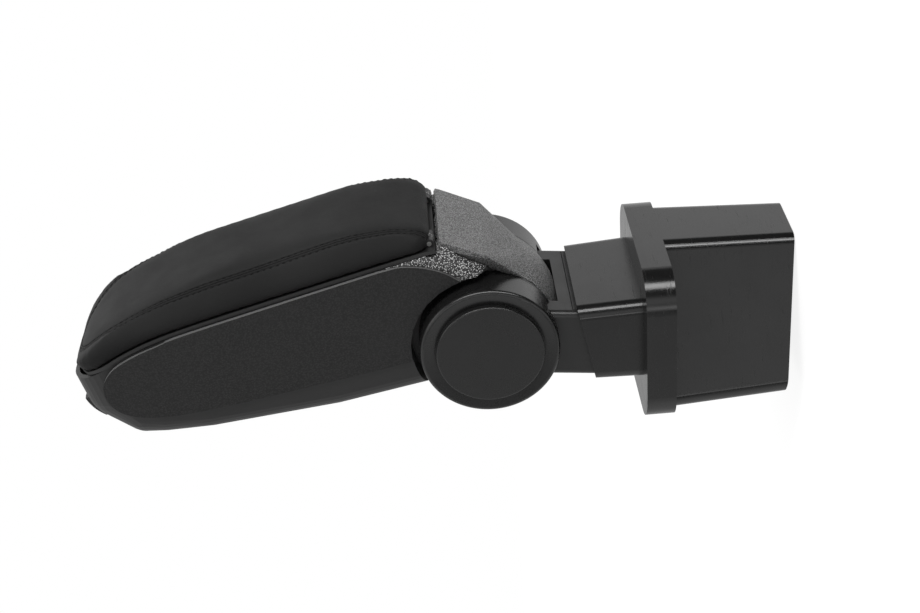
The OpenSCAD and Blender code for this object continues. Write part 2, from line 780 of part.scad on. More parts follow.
pad_low = 0.5 + lid_t + 0.1;
pad_top = [[pad_rear_x, rim_z + 4], [pad_rear_x + 0.6, rim_z + 9], [pad_rear_x + 4, rim_z + 14.5],
  [pad_rear_x + 11.5, rim_z + 18.6], [pad_rear_x + 22.5, rim_z + pad_h - 4.3],
  [pad_rear_x + 38.5, rim_z + pad_h - 1],
  [along(0.26), rim_z + pad_h + 1.4], [along(0.4), rim_z + pad_h + 2], [along(0.56), rim_z + pad_h + 1.4],
  [along(0.64), rim_z + pad_h - 0.4], [along(0.735), rim_z + pad_h - 4.4], [along(0.835), rim_z + pad_h - 11],
  [along(0.885), rim_z + pad_h - 16.5], [along(0.92), rim_z + pad_h - 22], [along(0.952), rim_z + pad_h - 28],
  [along(0.976), rim_z + pad_h - 34], [tip_x + 3.8, rim_z - nose_drop + pad_low + 0.5]];

module lid_cushion() {
  color([0.08, 0.08, 0.085]) on_arm() difference() {
    intersection() {
      across(-60, 60) polygon(concat(lifted(rim_line, pad_low), back_to_front(curve(pad_top, 4))));
      linear_extrude(140) lid_plan(0);
      rotate([90, 0, 90]) linear_extrude(400) polygon(concat(
        [[-pad_half_y, 0], [pad_half_y, 0], [pad_half_y, rim_z + 8]],
        curve([[pad_half_y, rim_z + 8], [seam_half_y + 3, rim_z + pad_h - 9],
        [seam_half_y, rim_z + pad_h - 1.5],
          [seam_half_y - 7, rim_z + pad_h + 1.4], [0, rim_z + pad_h + 3],
          [7 - seam_half_y, rim_z + pad_h + 1.4],
          [-seam_half_y, rim_z + pad_h - 1.5], [-seam_half_y - 3, rim_z + pad_h - 9],
          [-pad_half_y, rim_z + 8]], 4)));
    }
    // pocket over the lid hinges
    across(-36.5, 36.5) translate([pad_rear_x - 1, rim_z]) square([8.5, 8]);
  }
}

module lid_pins() {
  color([0.6, 0.6, 0.62]) on_arm() both_sides() across(22, 36) translate([lid_ax, lid_az]) circle(pin_r);
}

/* latch */
module latch_striker() {
  color([0.6, 0.6, 0.62]) on_arm() difference() {
    union() {
      across(-11, 11) polygon([[striker_x - 1.6, hook_z - 3.6], [striker_x, hook_z - 3.6],
        [striker_x, rim_at(striker_x) + 0.1], [striker_x - 1.6, rim_at(striker_x - 1.6) + 0.1]]);
      across(-11, 11) polygon([[striker_x - 17, rim_at(striker_x - 17) - 1.3],
        [striker_x, rim_at(striker_x) - 1.3],
        [striker_x, rim_at(striker_x) + 0.1], [striker_x - 17, rim_at(striker_x - 17) + 0.1]]);
    }
    translate([striker_x - 5, -8, hook_z - 0.6]) cube([10, 16, 4.6]);
    for (j = [-1, 1]) translate([striker_x - 12, j * 7, 40]) cylinder(r = 1.6, h = 60);
  }
}

module latch_button() {
  color([0.06, 0.06, 0.065]) on_arm() {
    // finger plate that follows the nose
    intersection() {
      button_sector(0);
      difference() {
        nose_form(button_in_r + 2.6);
        nose_form(button_in_r);
      }
    }
    // stalk, arm and nose
    translate([arm_x, -stalk_half_y, stalk_z])
      cube([nose_x + 23.6 - arm_x, 2 * stalk_half_y, 7]);
    translate([arm_x, -stalk_half_y, stalk_z]) cube([3, 2 * stalk_half_y, hook_z + 3.4 - stalk_z]);
    translate([arm_x, -stalk_half_y + 1.5, hook_z])
      cube([striker_x - 1.6 - gap - arm_x, 2 * stalk_half_y - 3, 3.4]);
  }
}

module latch_spring() {
  x0 = arm_x - spring_l;
  color([0.6, 0.6, 0.62]) on_arm() across(-4, 4) translate([0, stalk_z - 1])
    polygon([[x0, 0], [x0 + spring_l, 2.4], [x0 + spring_l, 3.2], [x0 + 1, 5], [x0 + spring_l, 6.8],
      [x0 + spring_l, 7.6], [x0, 5.3], [x0, 4.7], [x0 + spring_l - 1.2, 2.8], [x0, 0.8]]);
}

insert_box();
adapter_neck();
flange_screws();
stem();
stem_cover();
stem_screws();
cap_left();
cap_right();
cap_disc_left();
cap_disc_right();
hinge_axle();
axle_nut();
spring_washers();
friction_washers();
hinge_sleeve();
tub();
rear_cowl();
cowl_screws();
side_panel_left();
side_panel_right();
tub_mat();
lid_plate();
lid_cushion();
lid_pins();
latch_striker();
latch_button();
latch_spring();
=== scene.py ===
import bpy, bmesh, math
import numpy as np
from mathutils import Vector, Matrix
from mathutils.bvhtree import BVHTree
from mathutils.kdtree import KDTree

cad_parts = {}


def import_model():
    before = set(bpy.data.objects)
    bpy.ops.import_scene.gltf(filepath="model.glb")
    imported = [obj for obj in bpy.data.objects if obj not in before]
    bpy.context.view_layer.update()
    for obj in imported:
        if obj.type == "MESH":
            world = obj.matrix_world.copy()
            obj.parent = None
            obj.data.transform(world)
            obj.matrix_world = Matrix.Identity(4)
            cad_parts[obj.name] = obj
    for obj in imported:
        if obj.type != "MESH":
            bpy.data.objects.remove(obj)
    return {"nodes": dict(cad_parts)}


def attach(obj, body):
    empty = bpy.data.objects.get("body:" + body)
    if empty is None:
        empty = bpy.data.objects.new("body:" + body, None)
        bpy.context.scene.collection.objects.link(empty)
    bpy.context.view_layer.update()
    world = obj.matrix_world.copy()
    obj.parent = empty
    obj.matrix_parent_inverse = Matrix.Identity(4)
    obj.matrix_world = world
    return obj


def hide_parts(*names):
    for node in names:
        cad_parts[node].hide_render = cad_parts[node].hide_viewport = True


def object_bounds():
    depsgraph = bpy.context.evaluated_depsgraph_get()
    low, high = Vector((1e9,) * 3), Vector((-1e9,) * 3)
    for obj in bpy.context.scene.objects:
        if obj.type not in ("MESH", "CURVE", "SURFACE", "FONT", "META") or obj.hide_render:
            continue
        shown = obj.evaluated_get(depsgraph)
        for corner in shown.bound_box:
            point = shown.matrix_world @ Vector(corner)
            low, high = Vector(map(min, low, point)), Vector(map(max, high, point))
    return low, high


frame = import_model()
box_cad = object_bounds()
nodes = frame["nodes"]

# Lengths are in metres, but for those of the padded cover, which say so.
# The hinge of the armrest, and how far it is folded up from level.
HX, HZ = -0.0078, 0.118
FOLD = math.radians(75)
COS_FOLD, SIN_FOLD = math.cos(FOLD), math.sin(FOLD)

# The photograph shows the part lying down: its up, near side and left, in the frame.
UP, NEAR, LEFT = Vector((-1, 0, 0)), Vector((0, 1, 0)), Vector((0, 0, 1))
# The middle of the part, which the lamps look at.
MID = Vector((0.0, 0.0, 0.13))


# Camera

PHOTO_W, PHOTO_H = 920, 613
FOCAL_PX = 1700.0
YAW, PITCH_DOWN, ROLL = math.radians(0.84), math.radians(31.03), math.radians(-4.18)
HINGE_PX = (485.14, 309.62)
HINGE_DISTANCE = 1.1321


def link(o):
    bpy.context.scene.collection.objects.link(o)
    return o


def to_frame(v):
    """A direction given as right, away and up in the photograph, in the frame."""
    return Vector((-v.z, -v.y, -v.x))


def photo_camera():
    """The photograph's camera, placed from where it sees the hinge."""
    away = Vector((math.sin(YAW) * math.cos(PITCH_DOWN), math.cos(YAW) * math.cos(PITCH_DOWN),
                   -math.sin(PITCH_DOWN)))
    level = Vector((math.cos(YAW), -math.sin(YAW), 0))
    upright = level.cross(away)
    right = math.cos(ROLL) * level + math.sin(ROLL) * upright
    up = -math.sin(ROLL) * level + math.cos(ROLL) * upright
    off_x = (HINGE_PX[0] - PHOTO_W / 2) / FOCAL_PX * HINGE_DISTANCE
    off_y = -(HINGE_PX[1] - PHOTO_H / 2) / FOCAL_PX * HINGE_DISTANCE
    place = to_frame(-(right * off_x + up * off_y + away * HINGE_DISTANCE)) + Vector((HX, 0, HZ))
    axes = Matrix((to_frame(right), to_frame(up), -to_frame(away))).transposed()
    data = bpy.data.cameras.new("camera")
    data.sensor_fit = "HORIZONTAL"
    data.sensor_width = 36.0
    data.lens = FOCAL_PX / PHOTO_W * data.sensor_width
    data.clip_start, data.clip_end = 0.05, 20
    cam = link(bpy.data.objects.new("camera", data))
    cam.matrix_world = Matrix.Translation(place) @ axes.to_4x4()
    bpy.context.scene.camera = cam


photo_camera()


# Finishes

def material(name):
    m = bpy.data.materials.new(name)
    m.use_nodes = True
    nt = m.node_tree
    nt.nodes.clear()
    out = nt.nodes.new("ShaderNodeOutputMaterial")
    b = nt.nodes.new("ShaderNodeBsdfPrincipled")
    nt.links.new(b.outputs[0], out.inputs[0])
    return m, nt, b


def grey(c):
    return (c, c, c, 1)


def ramp(nt, src, stops):
    """A colour ramp on src, from stops of a place and a grey or a colour."""
    r = nt.nodes.new("ShaderNodeValToRGB")
    els = r.color_ramp.elements
    while len(els) < len(stops):
        els.new(0.5)
    for e, (place, c) in zip(els, stops):
        e.position = place
        e.color = (*c, 1) if isinstance(c, tuple) else grey(c)
    nt.links.new(src, r.inputs[0])
    return r.outputs[0]


def maths(nt, op, *values):
    n = nt.nodes.new("ShaderNodeMath")
    n.operation = op
    for i, v in enumerate(values):
        if isinstance(v, (int, float)):
            n.inputs[i].default_value = v
        else:
            nt.links.new(v, n.inputs[i])
    return n.outputs[0]


def mixed(nt, factor, low, high):
    """The colour low where factor is 0 and high where it is 1. Each is a socket or a grey."""
    n = nt.nodes.new("ShaderNodeMix")
    n.data_type = "RGBA"
    nt.links.new(factor, n.inputs["Factor"])
    for i, c in ((6, low), (7, high)):
        if isinstance(c, float):
            n.inputs[i].default_value = grey(c)
        else:
            nt.links.new(c, n.inputs[i])
    return n.outputs[2]


def coords(nt, scale=(1, 1, 1), rot=(0, 0, 0)):
    tc = nt.nodes.new("ShaderNodeTexCoord")
    mp = nt.nodes.new("ShaderNodeMapping")
    mp.inputs["Scale"].default_value = scale
    mp.inputs["Rotation"].default_value = rot
    nt.links.new(tc.outputs["Object"], mp.inputs["Vector"])
    return mp.outputs[0]


def split(nt, vector):
    n = nt.nodes.new("ShaderNodeSeparateXYZ")
    nt.links.new(vector, n.inputs[0])
    return n.outputs


def noise(nt, vec, scale, detail=4, rough=0.5):
    n = nt.nodes.new("ShaderNodeTexNoise")
    n.inputs["Scale"].default_value = scale
    n.inputs["Detail"].default_value = detail
    n.inputs["Roughness"].default_value = rough
    nt.links.new(vec, n.inputs["Vector"])
    return n.outputs["Fac"]


def cells(nt, vec, scale, feature="F1"):
    n = nt.nodes.new("ShaderNodeTexVoronoi")
    n.feature = feature
    n.inputs["Scale"].default_value = scale
    nt.links.new(vec, n.inputs["Vector"])
    return n.outputs["Distance"]


def bump(nt, b, height, strength, distance, under=None):
    n = nt.nodes.new("ShaderNodeBump")
    n.inputs["Strength"].default_value = strength
    n.inputs["Distance"].default_value = distance
    nt.links.new(height, n.inputs["Height"])
    if under is not None:
        nt.links.new(under, n.inputs["Normal"])
    nt.links.new(n.outputs[0], b.inputs["Normal"])
    return n.outputs[0]


# The tub's shoulders lie above SHOULDER_Z and behind SHOULDER_X, measured from the hinge along the level armrest; they
# get a coarse grain and a painted bright sparkle as highlight.
# The steepness of their mask's edge and their grain are for each metre.
SHOULDER_Z, SHOULDER_X = 0.049, 0.045
SHOULDER_EDGE = 900
SHOULDER_GRAIN = 950


def shoulder_grain_and_highlight_mask(nt):
    """1 on the two grained shoulders of the tub behind the pad, which get a painted highlight, and 0 elsewhere, with
    the armrest level.
    """
    place = split(nt, nt.nodes.new("ShaderNodeTexCoord").outputs["Object"])
    x = maths(nt, "SUBTRACT", place["X"], HX)
    z = maths(nt, "SUBTRACT", place["Z"], HZ)
    level_x = maths(nt, "ADD", maths(nt, "MULTIPLY", x, COS_FOLD), maths(nt, "MULTIPLY", z, SIN_FOLD))
    level_z = maths(nt, "SUBTRACT", maths(nt, "MULTIPLY", z, COS_FOLD), maths(nt, "MULTIPLY", x, SIN_FOLD))
    above = maths(nt, "MULTIPLY", maths(nt, "SUBTRACT", level_z, SHOULDER_Z), SHOULDER_EDGE)
    behind = maths(nt, "MULTIPLY", maths(nt, "SUBTRACT", SHOULDER_X, level_x), SHOULDER_EDGE)
    clamp = nt.nodes.new("ShaderNodeClamp")
    nt.links.new(maths(nt, "MINIMUM", above, behind), clamp.inputs[0])
    return clamp.outputs[0]


def panel_edge(nt, b, tone, level):
    """The edge of an inset panel, down in its recess, is painted near black as shade and loses its shine, but for its
    upper edge, which gets a painted highlight.
    """
    normal = split(nt, nt.nodes.new("ShaderNodeNewGeometry").outputs["Normal"])
    rim = ramp(nt, maths(nt, "ABSOLUTE", normal["Y"]), [(0.70, 1.0), (0.90, 0.0)])
    facing = maths(nt, "MULTIPLY_ADD", normal["X"], 0.5, 0.5)
    # Painted shade: the panel's edges that don't face up as the part lies are coloured near black.
    painted_groove_shade = maths(nt, "MULTIPLY", rim, ramp(nt, facing, [(0.36, 0.0), (0.42, 1.0)]))
    # Painted highlight: the panel's edge that faces up as the part lies is coloured a lighter grey.
    painted_top_edge_highlight = maths(nt, "MULTIPLY", rim, ramp(nt, facing, [(0.30, 1.0), (0.40, 0.0)]))
    shine = maths(nt, "MULTIPLY", maths(nt, "SUBTRACT", 1.0, painted_groove_shade), level)
    nt.links.new(shine, b.inputs["Specular IOR Level"])
    return mixed(nt, painted_groove_shade, mixed(nt, maths(nt, "MULTIPLY", painted_top_edge_highlight, 0.5), tone, 0.22), 0.001)


def plastic(name, tones, rough, grain, level=0.5, scuff=0.0, wave=0.0, painted_glint=0.0, shoulders=False, inset=False):
    """Moulded plastic. tones and rough are ranges. grain is cells for each metre, strength and depth.
    scuff and wave are the strength of marks and of sink, and the grey after them is painted on the grain's tops as
    glints of light."""
    m, nt, b = material(name)
    v = coords(nt)
    shoulder = shoulder_grain_and_highlight_mask(nt) if shoulders else None
    fine = noise(nt, v, 900, 2, 0.5)
    cloud = maths(nt, "MULTIPLY_ADD", noise(nt, v, 22, 5, 0.6), 0.7, maths(nt, "MULTIPLY", fine, 0.3))
    tone = ramp(nt, cloud, [(0.3, tones[0]), (0.7, tones[1])])
    if shoulders:
        # Painted highlight: bright sparkle coloured onto the shoulders, which face the light.
        painted_sparkle = ramp(nt, cells(nt, v, SHOULDER_GRAIN), [(0.15, 0.85), (0.50, 0.03)])
        tone = mixed(nt, shoulder, tone, painted_sparkle)
    # Painted glints: the grain's tops are coloured a lighter grey where light would catch them.
    if painted_glint:
        tone = mixed(nt, ramp(nt, cells(nt, v, grain[0]), [(0.20, 1.0), (0.62, 0.0)]), tone, painted_glint)
    b.inputs["Specular IOR Level"].default_value = level
    if inset:
        tone = panel_edge(nt, b, tone, level)
    nt.links.new(tone, b.inputs["Base Color"])
    wear = maths(nt, "MULTIPLY_ADD", noise(nt, v, 60, 6, 0.65), 0.6, maths(nt, "MULTIPLY", fine, 0.4))
    dull = ramp(nt, wear, [(0.3, rough[0]), (0.7, rough[1])])
    pits = maths(nt, "MULTIPLY", noise(nt, v, grain[0] * 1.7, 3, 0.6), 0.6)
    last = bump(nt, b, maths(nt, "MULTIPLY_ADD", cells(nt, v, grain[0]), 0.6, pits), grain[1], grain[2])
    if shoulders:
        coarse = maths(nt, "MULTIPLY", shoulder, cells(nt, v, SHOULDER_GRAIN))
        last = bump(nt, b, coarse, 1.0, 0.0009, last)
    if wave:
        last = bump(nt, b, noise(nt, v, 9, 2, 0.4), wave, 0.004, last)
    if scuff:
        streaks = coords(nt, (1, 1, 9), (0.4, 0.2, 0.3))
        marks = ramp(nt, noise(nt, streaks, 55, 4, 0.7), [(0.60, 0.0), (0.68, 1.0)])
        dull = maths(nt, "ADD", maths(nt, "MULTIPLY", maths(nt, "MULTIPLY", marks, scuff), 0.25), dull)
        bump(nt, b, marks, 0.15 * scuff, 0.0002, last)
    nt.links.new(dull, b.inputs["Roughness"])
    return m


def metal(name, base, rough):
    """Turned or pressed metal, brushed across."""
    m, nt, b = material(name)
    v = coords(nt, (1, 6, 1))
    shade = tuple(c * 0.8 for c in base)
    nt.links.new(ramp(nt, noise(nt, v, 120, 5, 0.6), [(0.3, shade), (0.7, base)]), b.inputs["Base Color"])
    brush = ramp(nt, noise(nt, v, 300, 4, 0.6), [(0.3, rough - 0.07), (0.7, rough + 0.08)])
    nt.links.new(brush, b.inputs["Roughness"])
    b.inputs["Metallic"].default_value = 1.0
    bump(nt, b, noise(nt, v, 700, 3, 0.5), 0.15, 0.0001)
    return m


# The two stitched rows lie ROW_OFF from the seam, and the ramps for seam and rows run over SEAM_RAMP, in millimetres.
ROW_OFF = 1.6
SEAM_RAMP = 2.0


def leather():
    """The cover's fine grained leather, with shade painted darker in the slit of the seam and along its two stitched
    rows.
    """
    m, nt, b = material("mat_pad")
    v = coords(nt)
    pores = noise(nt, v, 1500, 2, 0.5)
    seam = nt.nodes.new("ShaderNodeAttribute")
    seam.attribute_name = "seam_d"
    away = maths(nt, "ABSOLUTE", seam.outputs["Fac"])
    slit = ramp(nt, maths(nt, "DIVIDE", away, SEAM_RAMP), [(0.06, 1.0), (0.22, 0.0)])
    from_row = maths(nt, "ABSOLUTE", maths(nt, "SUBTRACT", away, ROW_OFF))
    row = ramp(nt, maths(nt, "DIVIDE", from_row, SEAM_RAMP), [(0.10, 1.0), (0.34, 0.0)])
    # Painted shade: the slit of the seam and the dents of the stitched rows are coloured darker, and made rougher.
    seam_painted_shade = maths(nt, "MAXIMUM", maths(nt, "MULTIPLY", slit, 0.5), maths(nt, "MULTIPLY", row, 0.30))
    cloud = maths(nt, "MULTIPLY_ADD", noise(nt, v, 14, 4, 0.55), 0.8, maths(nt, "MULTIPLY", pores, 0.2))
    tone = ramp(nt, cloud, [(0.32, 0.015), (0.68, 0.021)])
    nt.links.new(mixed(nt, seam_painted_shade, tone, 0.0015), b.inputs["Base Color"])
    wear = ramp(nt, noise(nt, v, 45, 5, 0.6), [(0.3, 0.50), (0.7, 0.62)])
    nt.links.new(maths(nt, "ADD", wear, maths(nt, "MULTIPLY", seam_painted_shade, 0.25)), b.inputs["Roughness"])
    b.inputs["Specular IOR Level"].default_value = 0.07
    b.inputs["Sheen Weight"].default_value = 0.02
    b.inputs["Sheen Roughness"].default_value = 0.5
    crease = ramp(nt, cells(nt, v, 820, "DISTANCE_TO_EDGE"), [(0.0, 0.0), (0.10, 1.0)])
    grain = maths(nt, "MULTIPLY_ADD", crease, 0.6, maths(nt, "MULTIPLY", pores, 0.5))
    pulled = maths(nt, "SUBTRACT", 1.0, maths(nt, "MAXIMUM", slit, maths(nt, "MULTIPLY", row, 0.6)))
    last = bump(nt, b, grain, 0.30, 0.0002)
    last = bump(nt, b, pulled, 0.7, 0.0006, last)
    bump(nt, b, noise(nt, v, 30, 3, 0.5), 0.12, 0.0015, last)
    return m


def thread():
    """Twisted black thread."""
    m, nt, b = material("mat_thread")
    v = coords(nt, rot=(0.6, 0.3, 0.2))
    nt.links.new(ramp(nt, noise(nt, v, 2500, 2, 0.5), [(0.3, 0.001), (0.7, 0.004)]), b.inputs["Base Color"])
    nt.links.new(ramp(nt, noise(nt, v, 900, 2, 0.5), [(0.3, 0.7), (0.7, 0.85)]), b.inputs["Roughness"])
    b.inputs["Specular IOR Level"].default_value = 0.2
    bump(nt, b, noise(nt, v, 3200, 2, 0.5), 0.4, 0.0001)
    return m


FINISH = {
    "box": plastic("mat_box", (0.005, 0.010), (0.16, 0.24), (1500, 0.05, 0.0002), scuff=0.6, wave=0.05),
    "neck": plastic("mat_neck", (0.005, 0.010), (0.18, 0.27), (1500, 0.05, 0.0002), scuff=0.4, wave=0.04),
    "stem": plastic("mat_stem", (0.007, 0.012), (0.34, 0.44), (1600, 0.10, 0.0002), scuff=0.2),
    "cap": plastic("mat_cap", (0.006, 0.010), (0.25, 0.32), (2200, 0.08, 0.00015), scuff=0.1),
    "grained": plastic("mat_grained", (0.045, 0.075), (0.38, 0.50), (1150, 1.0, 0.0006), level=0.6, painted_glint=0.30),
    "panel": plastic("mat_panel", (0.004, 0.008), (0.38, 0.50), (800, 0.80, 0.0005), level=0.33, painted_glint=0.016,
                     inset=True),
    "tub": plastic("mat_tub", (0.007, 0.012), (0.40, 0.50), (2000, 0.16, 0.0002), scuff=0.1, shoulders=True),
    "shell": plastic("mat_shell", (0.009, 0.014), (0.40, 0.50), (2000, 0.16, 0.0002), scuff=0.1),
    "rubber": plastic("mat_rubber", (0.010, 0.016), (0.6, 0.75), (900, 0.4, 0.0003), level=0.4),
    "steel": metal("mat_steel", (0.56, 0.56, 0.55), 0.32),
    "brass": metal("mat_brass", (0.70, 0.50, 0.24), 0.35),
    "leather": leather(),
    "thread": thread(),
}
WEARS = {
    "insert_box": "box", "adapter_neck": "neck", "stem": "stem", "stem_cover": "stem", "hinge_sleeve": "stem",
    "cap_left": "cap", "cap_right": "cap", "cap_disc_left": "cap", "cap_disc_right": "cap",
    "tub": "tub", "rear_cowl": "grained", "side_panel_left": "panel", "side_panel_right": "panel",
    "tub_mat": "rubber", "lid_plate": "shell", "latch_button": "shell", "lid_cushion": "leather",
    "friction_washers": "brass",
}
for name, o in nodes.items():
    finish = FINISH[WEARS.get(name, "steel")]
    if not o.material_slots:
        o.data.materials.append(finish)
    for s in o.material_slots:
        s.material = finish


# Padded cover. Its shape is worked out in millimetres with the armrest level: x from the hinge to the tip, z up.

TO_LEVEL = np.array(((COS_FOLD, 0, SIN_FOLD), (0, 1, 0), (-SIN_FOLD, 0, COS_FOLD)))
HINGE = np.array((HX, 0, HZ))


def to_mm(a):
    return (a - HINGE) @ TO_LEVEL.T * 1000


def to_row(a):
    return a / 1000 @ TO_LEVEL + HINGE


def read(me, what):
    a = np.empty(len(me.vertices) * 3)
    me.vertices.foreach_get(what, a)
    return a.reshape(-1, 3)


def put(me, a):
    me.vertices.foreach_set("co", np.ascontiguousarray(a).ravel())
    me.update()


def smooth_faces(me):
    me.polygons.foreach_set("use_smooth", [True] * len(me.polygons))


def bake(o):
    """Applies the object's modifiers."""
    me = bpy.data.meshes.new_from_object(o.evaluated_get(bpy.context.evaluated_depsgraph_get()))
    o.modifiers.clear()
    old, o.data = o.data, me
    bpy.data.meshes.remove(old)
    return me


def lengths(points):
    """How far along a line each of its points lies."""
    return np.concatenate(([0], np.cumsum(np.linalg.norm(np.diff(points, axis=0), axis=1))))


def smooth_line(points, step):
    """Even points along a smooth curve through the given ones."""
    p = np.array(points, float)
    q = np.vstack((2 * p[0] - p[1], p, 2 * p[-1] - p[-2]))
    out = []
    for i in range(1, len(q) - 2):
        t = np.linspace(0, 1, 24, endpoint=False)[:, None]
        a, b, c, d = q[i - 1:i + 3]
        out.append(0.5 * (2 * b + (c - a) * t + (2 * a - 5 * b + 4 * c - d) * t * t
                          + (3 * b - a - 3 * c + d) * t ** 3))
    out = np.vstack(out + [q[-2][None]])
    s = lengths(out)
    want = np.arange(0, s[-1], step)
    return np.stack([np.interp(want, s, out[:, k]) for k in range(3)], 1)


def tree_of(points):
    kd = KDTree(len(points))
    for i, s in enumerate(points):
        kd.insert(s, i)
    kd.balance()
    return kd


def surface_of(me):
    return BVHTree.FromPolygons([tuple(v) for v in to_mm(read(me, "co"))], [tuple(f.vertices) for f in me.polygons])


# The upper seam from the rear along the left side to the nose, and from there back along the right side.
HALF_SEAM = [(9.5, 37, 83.5), (13, 37, 87), (22, 37, 93), (33, 37, 97), (49, 37, 99.8), (69, 37, 101.3),
             (89, 37, 101), (108, 37, 100.3), (127, 37, 99.8), (151, 37, 99.6), (172, 37, 98.7), (197, 37, 97),
             (222, 36, 92.6), (238, 32.5, 87.5), (249, 27, 82.5), (257, 18.5, 77.5), (261.5, 9, 74.6)]
SEAM = HALF_SEAM + [(262.6, 0, 73.8)] + [(x, -y, z) for x, y, z in reversed(HALF_SEAM)]
# Height of the cover's lower edge along the armrest.
RIM = [(0, 74.2), (24, 74.7), (80, 75), (161, 75), (199, 73.8), (223, 70.4), (242, 65.4), (258, 61.4), (272, 59.5)]
# Rounding of the rear corners and turn-under of the lower edge. Each FADE is where its effect ends and where it is full.
CORNER_R, CORNER_Y, CORNER_FADE = 13, 31, (34, 10.5)
TURN_UNDER, TURN_FADE, SIDE_FADE, NOSE_FADE = 2.4, (12.5, 3), (20, 40), (235, 265)
# The filling is held above the lower edge, and fully and in part this near the seam.
EDGE_FADE, SEAM_HELD, SEAM_EASED = (7, 3), 1.8, 3.2
# Depth and width of the slit of the seam, of the stitched rows and of the broad dip round them, how much the cover
# swells elsewhere, and how deep each stitch puckers it. Nothing is drawn in beyond SEAM_REACH.
SLIT, SLIT_W = 0.55, 0.7
ROW, ROW_W = 0.40, 0.8
DIP, DIP_W = 0.7, 6.5
SWELL, PUCKER = 0.15, 0.16
SEAM_REACH, FAR = 14, 99.0
# A stitch: its spacing, half its length, width and height, how far its ends dip, how high it lies, how much it turns,
# and the length without stitches at either end of a row.
PITCH, STITCH, STITCH_DIP, STITCH_LIFT, STITCH_TURN, ROW_ENDS = 4.4, (1.55, 0.40, 0.34), 0.30, 0.02, 0.02, 3.0
# Metres again: the mesh of the cover, what it gives way before it is filled, and how far the filling may move it.
VOXEL, UNFILLED, FILL_MAX = 0.0026, 0.0008, 0.0024


def fade(a, ends):
    """0 beyond the first of the ends, 1 beyond the second, and even between them."""
    return np.clip((a - ends[0]) / (ends[1] - ends[0]), 0, 1)


def hump(a, width):
    return np.exp(-(a / width) ** 2)


def soften(p, rim):
    """Rounds the rear corners seen from above, and turns the lower sides and nose under."""
    y = np.abs(p[:, 1])
    cut = CORNER_R - np.sqrt(np.maximum(0, CORNER_R ** 2 - np.clip(y - CORNER_Y, 0, CORNER_R) ** 2))
    p[:, 0] += cut * fade(p[:, 0], CORNER_FADE)
    low = fade(p[:, 2] - rim, TURN_FADE) ** 1.5
    p[:, 1] -= np.sign(p[:, 1]) * TURN_UNDER * low * fade(y, SIDE_FADE)
    p[:, 0] -= TURN_UNDER * low * fade(p[:, 0], NOSE_FADE)
    return p


def pad():
    o = link(bpy.data.objects.new("pad_cover", nodes["lid_cushion"].data.copy()))
    o.data.materials.clear()
    m = o.modifiers.new("even", "REMESH")
    m.mode = "VOXEL"
    m.voxel_size = VOXEL
    bake(o)
    m = o.modifiers.new("soft", "SMOOTH")
    m.factor, m.iterations = 0.5, 5
    me = bake(o)
    p = to_mm(read(me, "co"))
    rim = np.interp(p[:, 0], *zip(*RIM))
    p = soften(p, rim)
    put(me, to_row(p))
    start = read(me, "co") - read(me, "normal") * UNFILLED
    put(me, start)
    start = fill(o, start, p, rim)
    put(me, start + read(me, "normal") * UNFILLED)
    m = o.modifiers.new("fine", "SUBSURF")
    m.levels = m.render_levels = 1
    me = bake(o)
    smooth_faces(me)
    seam_line(me)
    me.materials.append(FINISH["leather"])
    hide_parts("lid_cushion")
    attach(o, "lid")


FRAMES = 16


def fill(o, start, level, rim):
    """The cover is filled: it is held along the seam and at its lower edge, and pressure crowns it between them."""
    seam = tree_of(smooth_line(SEAM, 1.0))
    held = o.vertex_groups.new(name="held")
    for i, q in enumerate(level):
        hold = float(fade(q[2] - rim[i], EDGE_FADE))
        to_seam = seam.find(q)[2]
        if to_seam < SEAM_EASED:
            hold = max(hold, 1.0 if to_seam < SEAM_HELD else 0.6)
        if hold > 0:
            held.add([i], hold, "REPLACE")
    c = o.modifiers.new("fill", "CLOTH")
    s = c.settings
    s.quality = 6
    s.mass = 0.25
    s.tension_stiffness = s.compression_stiffness = 22
    s.shear_stiffness = 8
    s.bending_stiffness = 2
    s.use_pressure = True
    s.uniform_pressure_force = 4.0
    s.vertex_group_mass = "held"
    s.effector_weights.gravity = 0
    c.point_cache.frame_start, c.point_cache.frame_end = 1, FRAMES
    for f in range(1, FRAMES + 1):
        bpy.context.scene.frame_set(f)
    filled = o.evaluated_get(bpy.context.evaluated_depsgraph_get())
    move = read(filled.data, "co") - start
    o.modifiers.clear()
    o.vertex_groups.clear()
    bpy.context.scene.frame_set(1)
    size = np.linalg.norm(move, axis=1)
    return start + move * np.minimum(1, FILL_MAX / np.maximum(size, 1e-9))[:, None]


def settled(a, width=9):
    """A running mean along a line, with its ends repeated."""
    more = width // 2
    a = np.vstack((np.repeat(a[:1], more, 0), a, np.repeat(a[-1:], more, 0)))
    return np.stack([np.convolve(a[:, j], np.ones(width) / width, "valid") for j in range(3)], 1)


